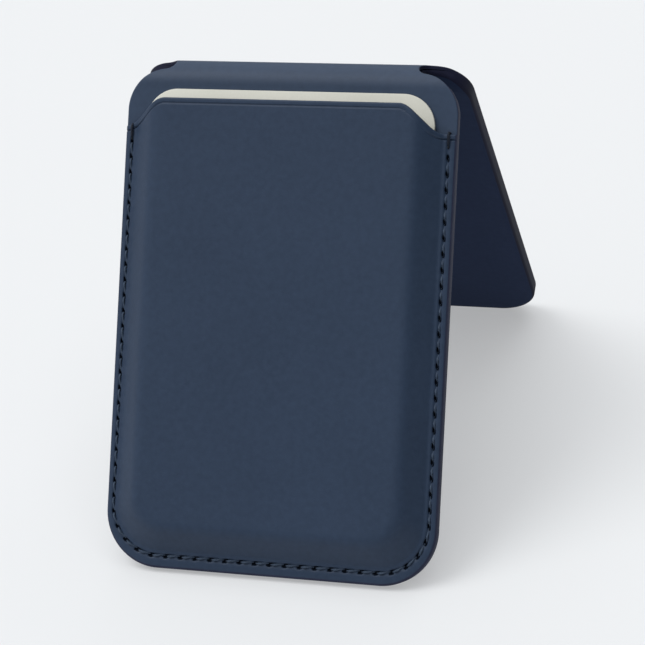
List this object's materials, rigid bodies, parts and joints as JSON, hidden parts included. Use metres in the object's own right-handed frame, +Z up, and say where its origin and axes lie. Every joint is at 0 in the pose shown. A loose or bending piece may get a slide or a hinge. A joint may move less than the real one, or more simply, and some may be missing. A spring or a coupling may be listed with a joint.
{
  "type": "phone wallet case",
  "caption": "Slim magnetic leather phone wallet: sewn front card pocket holding a card, joined by a leather fold to a rear magnet flap that opens as an A-frame stand",
  "frame": {"origin": "centre of the bottom of the bounding box, on the surface that both feet stand on, with the wallet open as a stand", "axes": "+Z up, +X across the wallet to the right as seen from the pocket side, -Y towards the pocket side and +Y towards the magnet flap"},
  "size_m": [0.063, 0.1032, 0.0797],
  "materials": {
    "outer_leather": "matte-satin fine-grain navy leather, painted edges",
    "inner_leather": "matte navy lining leather",
    "thread": "twisted polyester thread, tone on tone",
    "board": "grey fibre board",
    "card_stock": "blank cream card, soft gloss",
    "steel_plate": "thin plain steel sheet",
    "magnet": "nickel-plated magnet",
    "tape": "woven reinforcing tape",
    "microfibre": "thin brushed microfibre lining"
  },
  "bodies": {
    "pocket": {"front_cover": "outer_leather", "front_board": "board", "front_lining": "microfibre", "pocket_wall": "outer_leather", "wall_board": "board", "shield_plate": "steel_plate", "rear_cover": "inner_leather", "seam_thread": "thread", "rear_thread": "thread", "mouth_tacks": "thread"},
    "card": {"card": "card_stock"},
    "fold": {"fold_leather": "outer_leather", "fold_tape": "tape", "fold_lining": "inner_leather"},
    "flap": {"flap_leather": "outer_leather", "flap_board": "board", "core_disc": "board", "ring_magnets": "magnet", "ring_backplate": "steel_plate", "alignment_magnet": "magnet", "flap_lining": "inner_leather"}
  },
  "joints": [
    {"name": "card_slide", "type": "slide", "parent": "pocket", "child": "card", "axis": [0, 0.527, 0.8499], "range_m": [0, 0.086]},
    {"name": "fold_hinge", "type": "hinge", "parent": "pocket", "child": "fold", "pos_m": [0, -0.00192, 0.07934], "axis": [-1, 0, 0], "range_deg": [-58.2, 31.8]},
    {"name": "flap_hinge", "type": "hinge", "parent": "fold", "child": "flap", "pos_m": [0, 0.00288, 0.07934], "axis": [-1, 0, 0], "range_deg": [-58.2, 31.8]}
  ],
  "couplings": [
    {"joint": "flap_hinge", "follows": "fold_hinge", "ratio": 1}
  ]
}
